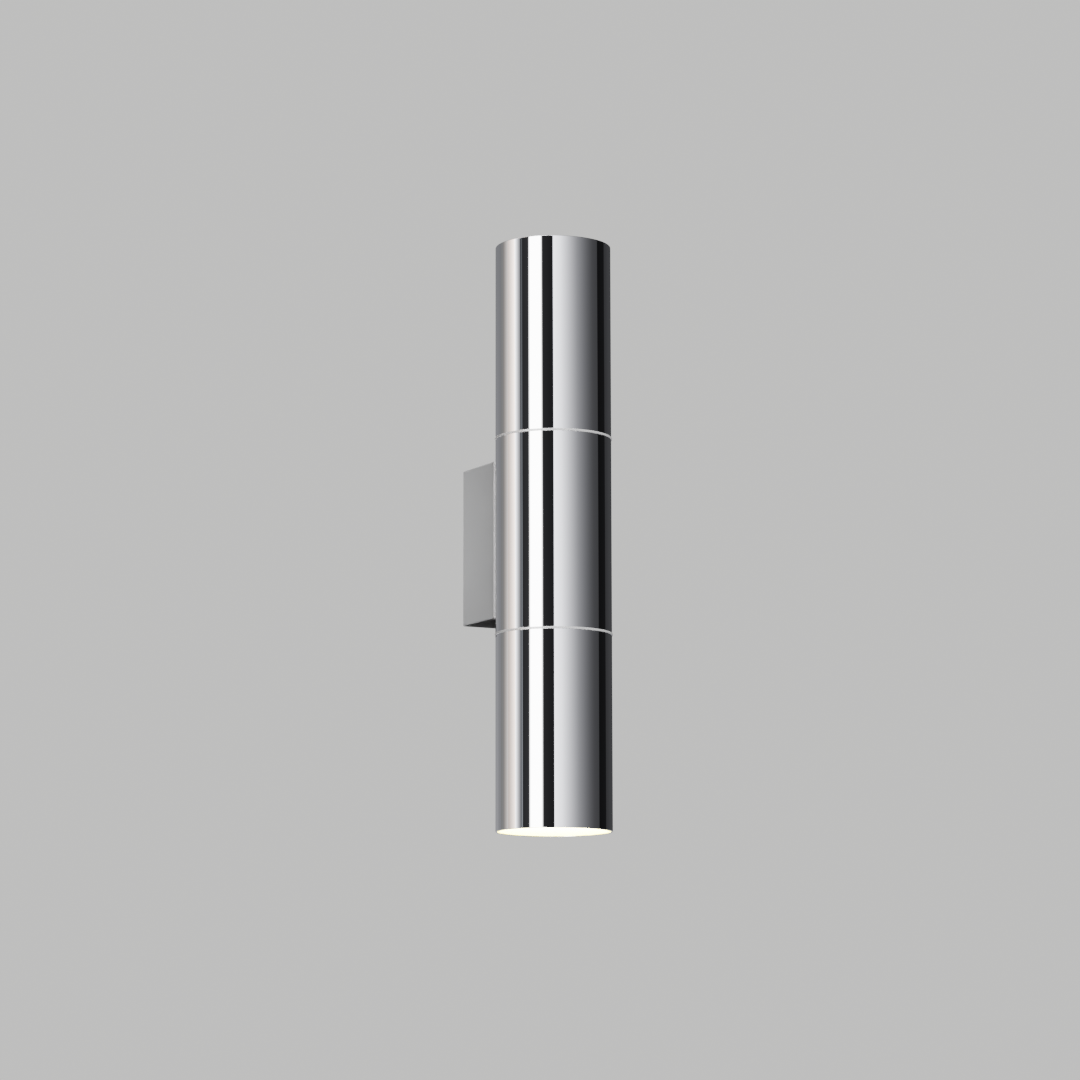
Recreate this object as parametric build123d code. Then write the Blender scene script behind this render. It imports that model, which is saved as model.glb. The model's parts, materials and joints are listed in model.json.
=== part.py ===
from build123d import *
import math
import os

# Tube wall light that shines up and down.
# Frame: the wall is the plane Y = 0 and the light stands off it towards -Y. +Z is up.
# The origin is the middle of the wall-screw pattern, level with the middle of the tube.
# All sizes are in millimetres.

# ---------------------------------------------------------------- driving dimensions
# Tube in three equal sections, with a thin ring between each two
TUBE_LENGTH = 305.0
TUBE_DIAMETER = 60.0
TUBE_WALL = 1.0
TUBE_STANDOFF = 57.0
TUBE_RIM_RADIUS = 0.3
RING_HEIGHT = 1.15
RING_PROUD = 0.35
RING_EDGE_RADIUS = 0.25

# Couplers inside the tube, one behind each ring, closed at the outer end by a web.
# The clamp screws hold their inner ends, and a small screw each holds the outer section.
COUPLER_WALL = 3.0
COUPLER_END_MARGIN = 6.0
COUPLER_OUTER_REACH = 20.0
COUPLER_WEB = 3.0
COUPLER_WIRE_HOLE_RADIUS = 7.0
COUPLER_SCREW_OFFSET = 10.0

# Wall box, hollowed in front for the tube
BOX_WIDTH = 46.5
BOX_HEIGHT = 82.5
BOX_DEPTH = 35.0
BOX_WALL = 2.0
BOX_EDGE_RADIUS = 0.8

# Wall bracket, bent from sheet
BRACKET_SHEET = 2.0
BRACKET_TAB_WIDTH = 14.0
BRACKET_TAB_REACH = 13.0
BRACKET_SHOULDER = 3.0
BEND_INNER_RADIUS = 1.0
WALL_SLOT_SPACING = 58.0
WALL_SLOT_LENGTH = 11.0
WALL_SLOT_WIDTH = 4.6
COVER_SCREW_STANDOFF = 8.0

# Cable entry from the wall, with its grommet
CABLE_ENTRY_Z = 12.0
CABLE_BORE_RADIUS = 4.2
CABLE_GROMMET_WALL = 1.8
CABLE_GROMMET_LIP = 1.8
CABLE_GROMMET_LIP_HEIGHT = 1.5

# Clamp screws that pull the tube and its couplers into the box
CLAMP_SCREW_SPACING = 40.0
CLAMP_WASHER_RADIUS = 4.5
CLAMP_WASHER_THICKNESS = 0.8

# Bush that carries the leads from the box into the tube
LEAD_BUSH_BORE_RADIUS = 3.9
LEAD_BUSH_WALL = 1.1
LEAD_BUSH_LIP = 1.6
LEAD_BUSH_LIP_HEIGHT = 1.5
LEAD_BUSH_TAIL = 1.0

# Terminal block, three poles side by side
TERMINAL_POLES = 3
TERMINAL_PITCH = 9.0
TERMINAL_LENGTH = 17.0
TERMINAL_CENTRE_Z = -13.5
TERMINAL_BASE = 3.0
TERMINAL_AXIS_HEIGHT = 5.0
TERMINAL_BARREL_RADIUS = 4.2
TERMINAL_TOWER_RADIUS = 3.4
TERMINAL_TOWER_HEIGHT = 13.0
TERMINAL_BORE_RADIUS = 2.0
TERMINAL_TUBE_WALL = 0.7
TERMINAL_SCREW_SPACING = 9.2
TERMINAL_SCREW_HEIGHT = 11.6
TERMINAL_BOSS_RADIUS = 2.5
TERMINAL_BOSS_HEIGHT = 9.4
TERMINAL_SLOT_WIDTH = 0.6
TERMINAL_SLOT_DEPTH = 0.8

# Earth point on the bracket
EARTH_EDGE_MARGIN = 5.8
EARTH_Z = 10.0
EARTH_TAG_RADIUS = 3.9
EARTH_TAG_SHEET = 0.8
EARTH_BARREL_RADIUS = 1.7
EARTH_BARREL_LENGTH = 5.0

# Leads
LEAD_RADIUS = 0.9
LEAD_PAIR_SPACING = 1.9
LEAD_BUSH_OFFSET = 1.6
LEAD_ROOM_FRONT = 4.5
LEAD_ROOM_STEP = 2.5
LEAD_LOOP_DROP = 7.0
LEAD_TERMINAL_REACH = 5.0
LEAD_TURN_RADIUS = 5.0
LEAD_TUBE_TURN_RADIUS = 12.0
LEAD_SLACK_Y = 4.0
LEAD_SLACK_Z = 33.0
EARTH_LEAD_BLOCK_GAP = 3.0
EARTH_LEAD_DROP = 2.0
EARTH_LEAD_RUN_IN = 2.6

# Twist-lock lampholders
HOLDER_LENGTH = 33.0
HOLDER_WIDTH = 19.0
HOLDER_CORNER_RADIUS = 8.0
HOLDER_EDGE_RADIUS = 1.0
HOLDER_HEIGHT = 16.0
HOLDER_TOP_WALL = 2.2
HOLDER_SCREW_SPACING = 24.0
HOLDER_SCREW_HEAD_DEPTH = 3.0
CONTACT_THICKNESS = 0.5
CONTACT_RADIUS = 2.3
CONTACT_TAIL_RADIUS = 0.9
CONTACT_TAIL_LENGTH = 3.0

# Reflector lamps with a two-pin twist-lock cap
LAMP_DIAMETER = 50.0
LAMP_LENGTH = 50.0
LAMP_RIM_HEIGHT = 6.0
LAMP_SHELL = 1.5
LAMP_NECK_RADIUS = 13.5
LAMP_CAP_HEIGHT = 14.0
LAMP_CAP_FOOT_RADIUS = 9.6
LAMP_CAP_FOOT_HEIGHT = 7.7
LAMP_CAP_COLLAR = 3.5
LAMP_CAP_SPIGOT = 4.0
LENS_THICKNESS = 2.4
LENS_RECESS = 0.6
LENS_EDGE_RADIUS = 0.6
LED_BOARD_INSET = 5.1
LED_BOARD_THICKNESS = 1.6
LED_BOARD_DEPTH = 12.0
LED_SIZE = 3.0
LED_THICKNESS = 0.8
LED_CIRCLE_RADIUS = 11.5
LEDS_ON_CIRCLE = 6
OPTIC_RADIUS = 5.2
DRIVER_BOARD_WIDTH = 15.0
DRIVER_BOARD_HEIGHT = 17.0
DRIVER_BOARD_THICKNESS = 1.6
DRIVER_COIL_SIZE = 6.0
DRIVER_CAPACITOR_RADIUS = 3.0
DRIVER_CAPACITOR_LENGTH = 9.0
PIN_SPACING = 10.0
PIN_NECK_RADIUS = 1.6
PIN_HEAD_RADIUS = 2.5
PIN_HEAD_HEIGHT = 2.4
PIN_EMBED = 3.5
LOCK_ANGLE_DEG = 40.0

# White glare rings in the tube mouths
GLARE_RING_INSET = 0.4
GLARE_RING_OVERLAP = 4.0
GLARE_RING_LIP = 1.0
SEAL_SECTION_RADIUS = 0.9

# Screw sizes: shank radius, head radius, head height. The key socket is a share of them.
M25 = (1.25, 2.3, 1.7)
M3 = (1.5, 2.75, 1.8)
M4 = (2.0, 3.9, 2.6)
HEAD_ROUNDING_SHARE = 0.4
SOCKET_WIDTH_SHARE = 0.8
SOCKET_FLOOR_SHARE = 0.4
TERMINAL_GRUB_RADIUS = 1.5
COVER_SCREW_LENGTH = 6.5
COUPLER_SCREW_LENGTH = 4.6
CLAMP_SCREW_LENGTH = 11.0
EARTH_SCREW_LENGTH = 2.8
HOLDER_SCREW_STICKOUT = 1.0

# Clearances
SLIDE_FIT = 0.10
SCREW_CLEARANCE = 0.2
TRIM_GAP = 0.4
LAMP_GAP = 0.5
SEAT_GAP = 0.1
NECK_GAP = 0.2
HEAD_GAP = 0.4
HEAD_LIFT = 0.15
CONTACT_GAP = 0.3
PIN_EDGE_RADIUS = 0.3

# ---------------------------------------------------------------- sizes worked out
TUBE_RADIUS = TUBE_DIAMETER / 2
TUBE_BORE = TUBE_RADIUS - TUBE_WALL
SECTION_LENGTH = (TUBE_LENGTH - 2 * RING_HEIGHT) / 3
RING_Z = (SECTION_LENGTH + RING_HEIGHT) / 2
COUPLER_RADIUS = TUBE_BORE - SLIDE_FIT
COUPLER_END_Z = CLAMP_SCREW_SPACING / 2 - COUPLER_END_MARGIN
WEB_Z = RING_Z + COUPLER_OUTER_REACH
SADDLE_BACK = TUBE_RADIUS + BOX_WALL
BRACKET_WIDTH = BOX_WIDTH - 2 * (BOX_WALL + TRIM_GAP)
BRACKET_HEIGHT = BOX_HEIGHT - 2 * (BOX_WALL + TRIM_GAP)
BRACKET_FRONT_Y = -BRACKET_SHEET
EARTH_X = BRACKET_WIDTH / 2 - EARTH_EDGE_MARGIN
EARTH_LEAD_X = TERMINAL_POLES * TERMINAL_PITCH / 2 + LEAD_RADIUS + EARTH_LEAD_BLOCK_GAP
TERMINAL_AXIS_Y = BRACKET_FRONT_Y - TERMINAL_AXIS_HEIGHT
TERMINAL_TUBE_RADIUS = TERMINAL_BORE_RADIUS + TERMINAL_TUBE_WALL
TERMINAL_FIXING_X = -TERMINAL_PITCH / 2
SADDLE_BACK_Y = SADDLE_BACK - TUBE_STANDOFF
EARTH_BARREL_TOP = -(M4[1] + TRIM_GAP)
PIN_NECK_LENGTH = SEAT_GAP + HOLDER_TOP_WALL + HEAD_LIFT
PIN_LENGTH = PIN_NECK_LENGTH + PIN_HEAD_HEIGHT
LAMP_SEAT = HOLDER_HEIGHT + SEAT_GAP
HOLDER_BASE = LAMP_SEAT - PIN_LENGTH - CONTACT_GAP - CONTACT_THICKNESS
LAMP_RADIUS = LAMP_DIAMETER / 2
LAMP_FACE_Z = WEB_Z + LAMP_SEAT + LAMP_LENGTH
LENS_RADIUS = LAMP_RADIUS - LAMP_SHELL
LED_BOARD_RADIUS = LAMP_RADIUS - LED_BOARD_INSET
LENS_SEAT = LAMP_LENGTH - LENS_RECESS - LENS_THICKNESS
LED_BOARD_SEAT = LAMP_LENGTH - LED_BOARD_DEPTH
LED_TOP = LED_BOARD_SEAT + LED_BOARD_THICKNESS + LED_THICKNESS
LAMP_CAP_TOP_RADIUS = LAMP_NECK_RADIUS - LAMP_SHELL
LAMP_SHOULDER = LAMP_LENGTH - LAMP_RIM_HEIGHT

TUBE_AXIS = Pos(0, -TUBE_STANDOFF, 0)
# A lamp stack is drawn pointing up, with its foot on the coupler's web at Z = 0
UPPER_STACK = Pos(0, -TUBE_STANDOFF, WEB_Z)
LOWER_STACK = Pos(0, -TUBE_STANDOFF, -WEB_Z) * Rot(180, 0, 0)


# ---------------------------------------------------------------- helpers
def upright(radius, low, high):
    """Solid cylinder about Z between two heights."""
    return Pos(0, 0, (low + high) / 2) * Cylinder(radius, high - low)


def pipe(outer_radius, inner_radius, low, high):
    """Hollow cylinder about Z between two heights."""
    return upright(outer_radius, low, high) - upright(inner_radius, low, high)


def turned(outline):
    """Solid of revolution about Z from (radius, height) corners."""
    return revolve(Plane.XZ * make_face(Polyline(outline, close=True)), Axis.Z)


def screw(size, length):
    """Pan-head screw about Z, its head sitting on Z = 0 and its shank below."""
    shank_radius, head_radius, head_height = size
    head = upright(head_radius, 0, head_height)
    head = fillet(head.edges().sort_by(Axis.Z)[-1], head_height * HEAD_ROUNDING_SHARE)
    hexagon = RegularPolygon(shank_radius * SOCKET_WIDTH_SHARE, 6)
    socket = extrude(Pos(0, 0, head_height * SOCKET_FLOOR_SHARE) * hexagon, head_height)
    return head + upright(shank_radius, -length, 0) - socket


def to_front(x, y, z):
    """Place a piece drawn along +Z so that it points away from the wall."""
    return Pos(x, y, z) * Rot(90, 0, 0)


def to_wall(x, y, z):
    """Place a piece drawn along +Z so that it points at the wall."""
    return Pos(x, y, z) * Rot(-90, 0, 0)


def group(pieces):
    """Several separate solids as one compound."""
    return Compound(children=list(pieces))


def lead(points, radii):
    """Insulated wire along straight runs joined by tangent arcs."""
    path = FilletPolyline(*points, radius=radii)
    section = Plane(origin=path @ 0, z_dir=path % 0) * Circle(LEAD_RADIUS)
    wire = sweep(section, path=path)
    drawn = wire.volume / (math.pi * LEAD_RADIUS ** 2)
    print(f"lead length {path.length:.1f} mm, by volume {drawn:.1f} mm, radii {radii}")
    return wire


# ---------------------------------------------------------------- tube, rings and couplers
def coupler_screw_place(side):
    """Place of one coupler's screw, at the back of the outer section."""
    return to_wall(0, TUBE_RADIUS - TUBE_STANDOFF, side * (RING_Z + COUPLER_SCREW_OFFSET))


def outer_section():
    """Upper tube section, from its ring to the open mouth."""
    section = pipe(TUBE_RADIUS, TUBE_BORE, RING_Z + RING_HEIGHT / 2, TUBE_LENGTH / 2)
    rim = section.faces().sort_by(Axis.Z)[-1].edges()
    section = TUBE_AXIS * fillet(rim, TUBE_RIM_RADIUS)
    hole = Cylinder(M3[0] + SCREW_CLEARANCE, 4 * TUBE_WALL)
    return section - coupler_screw_place(1) * hole


def middle_section():
    """Middle tube section, drilled for the clamp screws and the lead bush."""
    section = TUBE_AXIS * pipe(TUBE_RADIUS, TUBE_BORE, -SECTION_LENGTH / 2, SECTION_LENGTH / 2)
    return section - clamp_drillings(M4[0] + SCREW_CLEARANCE)


def joint_ring():
    """Thin ring between two sections, standing a little proud of them."""
    ring = pipe(TUBE_RADIUS + RING_PROUD, TUBE_BORE, RING_Z - RING_HEIGHT / 2, RING_Z + RING_HEIGHT / 2)
    outer_edges = ring.edges().filter_by(GeomType.CIRCLE).sort_by(SortBy.RADIUS)[-2:]
    return TUBE_AXIS * fillet(outer_edges, RING_EDGE_RADIUS)


def coupler():
    """Upper coupler: a sleeve in two tube sections whose web carries the lampholder."""
    body = pipe(COUPLER_RADIUS, COUPLER_RADIUS - COUPLER_WALL, COUPLER_END_Z, WEB_Z)
    body += upright(COUPLER_RADIUS - COUPLER_WALL, WEB_Z - COUPLER_WEB, WEB_Z)
    body -= upright(COUPLER_WIRE_HOLE_RADIUS, WEB_Z - 2 * COUPLER_WEB, WEB_Z + COUPLER_WEB)
    for x in (-HOLDER_SCREW_SPACING / 2, HOLDER_SCREW_SPACING / 2):
        body -= Pos(x, 0, 0) * upright(M3[0], WEB_Z - 2 * COUPLER_WEB, WEB_Z + COUPLER_WEB)
    body = TUBE_AXIS * body - clamp_drillings(M4[0])
    return body - coupler_screw_place(1) * Cylinder(M3[0], 4 * (COUPLER_WALL + TUBE_WALL))


def coupler_screws():
    """Two small screws at the back of the tube, one into each coupler."""
    return group(coupler_screw_place(side) * screw(M3, COUPLER_SCREW_LENGTH) for side in (1, -1))


# ---------------------------------------------------------------- clamp between tube and box
def clamp_screw_heights():
    return (CLAMP_SCREW_SPACING / 2, -CLAMP_SCREW_SPACING / 2)


def clamp_drillings(screw_hole_radius):
    """Cutters for the two clamp screws and the lead bush, through box, tube and couplers."""
    reach = 3 * (BOX_WALL + TUBE_WALL + COUPLER_WALL)
    middle = TUBE_BORE - TUBE_STANDOFF
    cutter = to_wall(0, middle, 0) * Cylinder(LEAD_BUSH_BORE_RADIUS + LEAD_BUSH_WALL, reach)
    for z in clamp_screw_heights():
        cutter += to_wall(0, middle, z) * Cylinder(screw_hole_radius, reach)
    return cutter


def tube_clamp_screws():
    """Two screws from inside the box through the tube, one into each coupler."""
    y = SADDLE_BACK_Y + CLAMP_WASHER_THICKNESS
    return group(to_wall(0, y, z) * screw(M4, CLAMP_SCREW_LENGTH) for z in clamp_screw_heights())


def tube_clamp_washers():
    """Two flat washers under the clamp screw heads."""
    washer = pipe(CLAMP_WASHER_RADIUS, M4[0] + SCREW_CLEARANCE, 0, CLAMP_WASHER_THICKNESS)
    return group(to_wall(0, SADDLE_BACK_Y, z) * washer for z in clamp_screw_heights())


def lead_bush():
    """Top-hat bush that lines the lead hole from the box into the tube."""
    outer = LEAD_BUSH_BORE_RADIUS + LEAD_BUSH_WALL
    depth = SADDLE_BACK - TUBE_BORE + LEAD_BUSH_TAIL
    bush = pipe(outer, LEAD_BUSH_BORE_RADIUS, -depth, 0)
    bush += pipe(outer + LEAD_BUSH_LIP, LEAD_BUSH_BORE_RADIUS, 0, LEAD_BUSH_LIP_HEIGHT)
    return to_wall(0, SADDLE_BACK_Y, 0) * bush


# ---------------------------------------------------------------- wall box and bracket
def cover_screw_hole(radius):
    """Cutter for both cover screws, top and bottom."""
    return Pos(0, -COVER_SCREW_STANDOFF, 0) * Cylinder(radius, BOX_HEIGHT + 2 * BOX_WALL)


def wall_box_cover():
    """Box open at the wall side, with a round hollow along its front that seats the tube."""
    block = Pos(0, -BOX_DEPTH / 2, 0) * Box(BOX_WIDTH, BOX_DEPTH, BOX_HEIGHT)
    free_edges = block.edges().filter_by(lambda edge: edge.center().Y < -BOX_EDGE_RADIUS)
    block = fillet(free_edges, BOX_EDGE_RADIUS)
    block -= TUBE_AXIS * Cylinder(TUBE_RADIUS, 2 * BOX_HEIGHT)
    inner_depth = BOX_DEPTH - BOX_WALL
    inner = Box(BOX_WIDTH - 2 * BOX_WALL, inner_depth, BOX_HEIGHT - 2 * BOX_WALL)
    cavity = Pos(0, -inner_depth / 2, 0) * inner - TUBE_AXIS * Cylinder(SADDLE_BACK, 2 * BOX_HEIGHT)
    cover = block - cavity
    return cover - clamp_drillings(M4[0] + SCREW_CLEARANCE) - cover_screw_hole(M3[0] + SCREW_CLEARANCE)


def wall_bracket():
    """Sheet-metal plate on the wall, with a tapped tab for each cover screw."""
    strip = Pos(0, -BRACKET_SHEET / 2, 0) * Box(BRACKET_TAB_WIDTH, BRACKET_SHEET, BRACKET_HEIGHT)
    tab = Box(BRACKET_TAB_WIDTH, BRACKET_TAB_REACH, BRACKET_SHEET)
    for side in (1, -1):
        strip += Pos(0, -BRACKET_TAB_REACH / 2, side * (BRACKET_HEIGHT - BRACKET_SHEET) / 2) * tab
    bends = strip.edges().filter_by(Axis.X)
    outer_bends = bends.filter_by(lambda edge: edge.center().Y > -BRACKET_SHEET / 2)
    strip = fillet(outer_bends, BEND_INNER_RADIUS + BRACKET_SHEET)
    inner_z = BRACKET_HEIGHT / 2 - BRACKET_SHEET
    inner_bends = strip.edges().filter_by(Axis.X).filter_by(
        lambda edge: abs(edge.center().Y - BRACKET_FRONT_Y) < SLIDE_FIT
        and abs(abs(edge.center().Z) - inner_z) < SLIDE_FIT)
    strip = fillet(inner_bends, BEND_INNER_RADIUS)
    plate_height = BRACKET_HEIGHT - 2 * BRACKET_SHOULDER
    plate = Pos(0, -BRACKET_SHEET / 2, 0) * Box(BRACKET_WIDTH, BRACKET_SHEET, plate_height)
    plate = fillet(plate.edges().filter_by(Axis.Y), BRACKET_SHOULDER)
    bracket = strip + plate
    slot = extrude(SlotOverall(WALL_SLOT_LENGTH, WALL_SLOT_WIDTH, rotation=90), BRACKET_SHEET, both=True)
    for z in (WALL_SLOT_SPACING / 2, -WALL_SLOT_SPACING / 2):
        bracket -= to_front(0, BRACKET_FRONT_Y / 2, z) * slot
    entry = Cylinder(CABLE_BORE_RADIUS + CABLE_GROMMET_WALL, 4 * BRACKET_SHEET)
    bracket -= to_front(0, 0, CABLE_ENTRY_Z) * entry
    bracket -= to_front(EARTH_X, 0, EARTH_Z) * Cylinder(M4[0], 4 * BRACKET_SHEET)
    fixing = Cylinder(M25[0], 4 * BRACKET_SHEET)
    bracket -= to_front(TERMINAL_FIXING_X, 0, TERMINAL_CENTRE_Z) * fixing
    return bracket - cover_screw_hole(M3[0])


def cover_screws():
    """One screw in the top of the box and one in the bottom."""
    up = Pos(0, -COVER_SCREW_STANDOFF, BOX_HEIGHT / 2)
    down = Pos(0, -COVER_SCREW_STANDOFF, -BOX_HEIGHT / 2) * Rot(180, 0, 0)
    return group(place * screw(M3, COVER_SCREW_LENGTH) for place in (up, down))


def cable_grommet():
    """Rubber grommet around the hole where the supply cable comes out of the wall."""
    hole = CABLE_BORE_RADIUS + CABLE_GROMMET_WALL
    body = pipe(hole, CABLE_BORE_RADIUS, 0, BRACKET_SHEET)
    lip = pipe(hole + CABLE_GROMMET_LIP, CABLE_BORE_RADIUS, BRACKET_SHEET,
               BRACKET_SHEET + CABLE_GROMMET_LIP_HEIGHT)
    return to_front(0, 0, CABLE_ENTRY_Z) * (body + lip)


# ---------------------------------------------------------------- terminal block and earth point
def on_bracket(x, z):
    """Place a piece drawn up from Z = 0 so that it stands on the bracket's front face."""
    return to_front(x, BRACKET_FRONT_Y, z)


def pole_x(index):
    return (index - (TERMINAL_POLES - 1) / 2) * TERMINAL_PITCH


def terminal_screw_places():
    """Foot of each wire screw, on the bracket's front face under it."""
    return [(pole_x(index), TERMINAL_CENTRE_Z + side * TERMINAL_SCREW_SPACING / 2)
            for index in range(TERMINAL_POLES) for side in (1, -1)]


def along_wires(x, radius, length):
    """Cylinder along Z on one pole's wire axis, centred on the block."""
    return Pos(x, TERMINAL_AXIS_Y, TERMINAL_CENTRE_Z) * Cylinder(radius, length)


def terminal_housing():
    """Nylon housing with a barrel and two screw towers for each pole."""
    width = TERMINAL_POLES * TERMINAL_PITCH
    foot = Box(width, TERMINAL_LENGTH, TERMINAL_BASE)
    housing = on_bracket(0, TERMINAL_CENTRE_Z) * Pos(0, 0, TERMINAL_BASE / 2) * foot
    for index in range(TERMINAL_POLES):
        housing += along_wires(pole_x(index), TERMINAL_BARREL_RADIUS, TERMINAL_LENGTH)
    for x, z in terminal_screw_places():
        housing += on_bracket(x, z) * upright(TERMINAL_TOWER_RADIUS, 0, TERMINAL_TOWER_HEIGHT)
    fixing = on_bracket(TERMINAL_FIXING_X, TERMINAL_CENTRE_Z)
    housing += fixing * upright(TERMINAL_BOSS_RADIUS, 0, TERMINAL_BOSS_HEIGHT)
    for index in range(TERMINAL_POLES):
        housing -= along_wires(pole_x(index), TERMINAL_TUBE_RADIUS, 2 * TERMINAL_LENGTH)
    for x, z in terminal_screw_places():
        shaft_radius = TERMINAL_GRUB_RADIUS + SCREW_CLEARANCE
        housing -= on_bracket(x, z) * upright(shaft_radius, TERMINAL_AXIS_HEIGHT, 2 * TERMINAL_TOWER_HEIGHT)
    shaft = upright(M25[0] + SLIDE_FIT, -TERMINAL_BASE, TERMINAL_TOWER_HEIGHT)
    return housing - fixing * shaft


def terminal_tubes():
    """Brass connector tubes, one for each pole, tapped for two wire screws."""
    tubes = []
    length = TERMINAL_LENGTH - 2 * TRIM_GAP
    for index in range(TERMINAL_POLES):
        tube = along_wires(pole_x(index), TERMINAL_TUBE_RADIUS, length)
        tube -= along_wires(pole_x(index), TERMINAL_BORE_RADIUS, 2 * length)
        for x, z in terminal_screw_places():
            if x == pole_x(index):
                tapped = upright(TERMINAL_GRUB_RADIUS, TERMINAL_AXIS_HEIGHT, TERMINAL_TOWER_HEIGHT)
                tube -= on_bracket(x, z) * tapped
        tubes.append(tube)
    return group(tubes)


def terminal_screws():
    """Slotted wire screws, two for each pole."""
    tip = TERMINAL_AXIS_HEIGHT + LEAD_RADIUS
    grub = upright(TERMINAL_GRUB_RADIUS, tip, TERMINAL_SCREW_HEIGHT)
    slot = Pos(0, 0, TERMINAL_SCREW_HEIGHT) * Box(
        3 * TERMINAL_GRUB_RADIUS, TERMINAL_SLOT_WIDTH, 2 * TERMINAL_SLOT_DEPTH)
    return group(on_bracket(x, z) * (grub - slot) for x, z in terminal_screw_places())


def terminal_fixing_screw():
    """Screw between two poles that holds the block on the bracket."""
    place = on_bracket(TERMINAL_FIXING_X, TERMINAL_CENTRE_Z) * Pos(0, 0, TERMINAL_BOSS_HEIGHT)
    return place * screw(M25, TERMINAL_BOSS_HEIGHT + BRACKET_SHEET)


def earth_ring_tag():
    """Ring tag flat on the bracket, its crimp barrel below on a short tongue."""
    tongue_end = EARTH_BARREL_TOP - EARTH_BARREL_RADIUS
    tongue = Box(2 * EARTH_BARREL_RADIUS, -tongue_end, EARTH_TAG_SHEET)
    tag = upright(EARTH_TAG_RADIUS, 0, EARTH_TAG_SHEET)
    tag += Pos(0, tongue_end / 2, EARTH_TAG_SHEET / 2) * tongue
    barrel = upright(EARTH_BARREL_RADIUS, EARTH_BARREL_TOP - EARTH_BARREL_LENGTH, EARTH_BARREL_TOP)
    bore_end = EARTH_BARREL_TOP - EARTH_TAG_SHEET
    bore = upright(LEAD_RADIUS, EARTH_BARREL_TOP - 2 * EARTH_BARREL_LENGTH, bore_end)
    lay_down = Pos(0, 0, EARTH_BARREL_RADIUS) * Rot(-90, 0, 0)
    tag = tag + lay_down * barrel - lay_down * bore
    tag -= upright(M4[0] + SCREW_CLEARANCE, -EARTH_TAG_SHEET, 2 * EARTH_TAG_SHEET)
    return on_bracket(EARTH_X, EARTH_Z) * tag


def earth_screw():
    """Earth screw through the ring tag into the bracket."""
    return on_bracket(EARTH_X, EARTH_Z) * Pos(0, 0, EARTH_TAG_SHEET) * screw(M4, EARTH_SCREW_LENGTH)


# ---------------------------------------------------------------- leads
def lamp_lead(side, pole_side):
    """Lead from one lampholder contact, down the tube, through the bush, to the terminal block."""
    contact_x = pole_side * PIN_SPACING / 2
    bush_x = pole_side * LEAD_BUSH_OFFSET
    bush_z = side * LEAD_BUSH_OFFSET
    drop_y = SADDLE_BACK_Y + LEAD_ROOM_FRONT + (1 + side) / 2 * LEAD_ROOM_STEP
    end_x = pole_side * TERMINAL_PITCH + side * pole_side * LEAD_PAIR_SPACING / 2
    end_z = TERMINAL_CENTRE_Z - TERMINAL_LENGTH / 2
    loop_z = end_z - LEAD_LOOP_DROP
    slack_y = LEAD_SLACK_Y - TUBE_STANDOFF
    points = [
        (contact_x, -TUBE_STANDOFF, side * (WEB_Z + HOLDER_BASE - CONTACT_TAIL_LENGTH)),
        (contact_x, -TUBE_STANDOFF, side * (WEB_Z - COUPLER_WEB - LEAD_TURN_RADIUS)),
        (bush_x, slack_y, side * LEAD_SLACK_Z),
        (bush_x, -TUBE_STANDOFF, bush_z),
        (bush_x, drop_y, bush_z),
        (end_x, drop_y, loop_z),
        (end_x, TERMINAL_AXIS_Y, loop_z),
        (end_x, TERMINAL_AXIS_Y, end_z + LEAD_TERMINAL_REACH),
    ]
    radii = [LEAD_TUBE_TURN_RADIUS, LEAD_TUBE_TURN_RADIUS, LEAD_TUBE_TURN_RADIUS,
             LEAD_TURN_RADIUS, LEAD_TURN_RADIUS, LEAD_TURN_RADIUS]
    return lead(points, radii)


def earth_lead():
    """Lead from the middle pole round the block to the ring tag."""
    end_z = TERMINAL_CENTRE_Z - TERMINAL_LENGTH / 2
    loop_z = end_z - LEAD_LOOP_DROP
    tag_y = BRACKET_FRONT_Y - EARTH_BARREL_RADIUS
    barrel_end = EARTH_Z + EARTH_BARREL_TOP - EARTH_TAG_SHEET
    barrel_mouth = EARTH_Z + EARTH_BARREL_TOP - EARTH_BARREL_LENGTH
    points = [
        (0, TERMINAL_AXIS_Y, end_z + LEAD_TERMINAL_REACH),
        (0, TERMINAL_AXIS_Y, loop_z),
        (EARTH_LEAD_X, TERMINAL_AXIS_Y, loop_z),
        (EARTH_LEAD_X, TERMINAL_AXIS_Y, TERMINAL_CENTRE_Z + TERMINAL_LENGTH / 2 - EARTH_LEAD_DROP),
        (EARTH_X, tag_y, barrel_mouth - EARTH_LEAD_RUN_IN),
        (EARTH_X, tag_y, barrel_end),
    ]
    return lead(points, [LEAD_TURN_RADIUS, LEAD_TURN_RADIUS, LEAD_TURN_RADIUS, LEAD_TURN_RADIUS])


# ---------------------------------------------------------------- lampholder
def holder_outline():
    return RectangleRounded(HOLDER_LENGTH, HOLDER_WIDTH, HOLDER_CORNER_RADIUS)


def holder_screw_places():
    return [Pos(x, 0, 0) for x in (-HOLDER_SCREW_SPACING / 2, HOLDER_SCREW_SPACING / 2)]


def pin_path(radius, low, high):
    """Cutter as wide as the given radius along the way of both pins, from locked to free."""
    track = SlotArc(CenterArc((0, 0), PIN_SPACING / 2, 0, LOCK_ANGLE_DEG), 2 * radius)
    way = extrude(Pos(0, 0, low) * track, high - low)
    return way + Rot(0, 0, 180) * way


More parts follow.
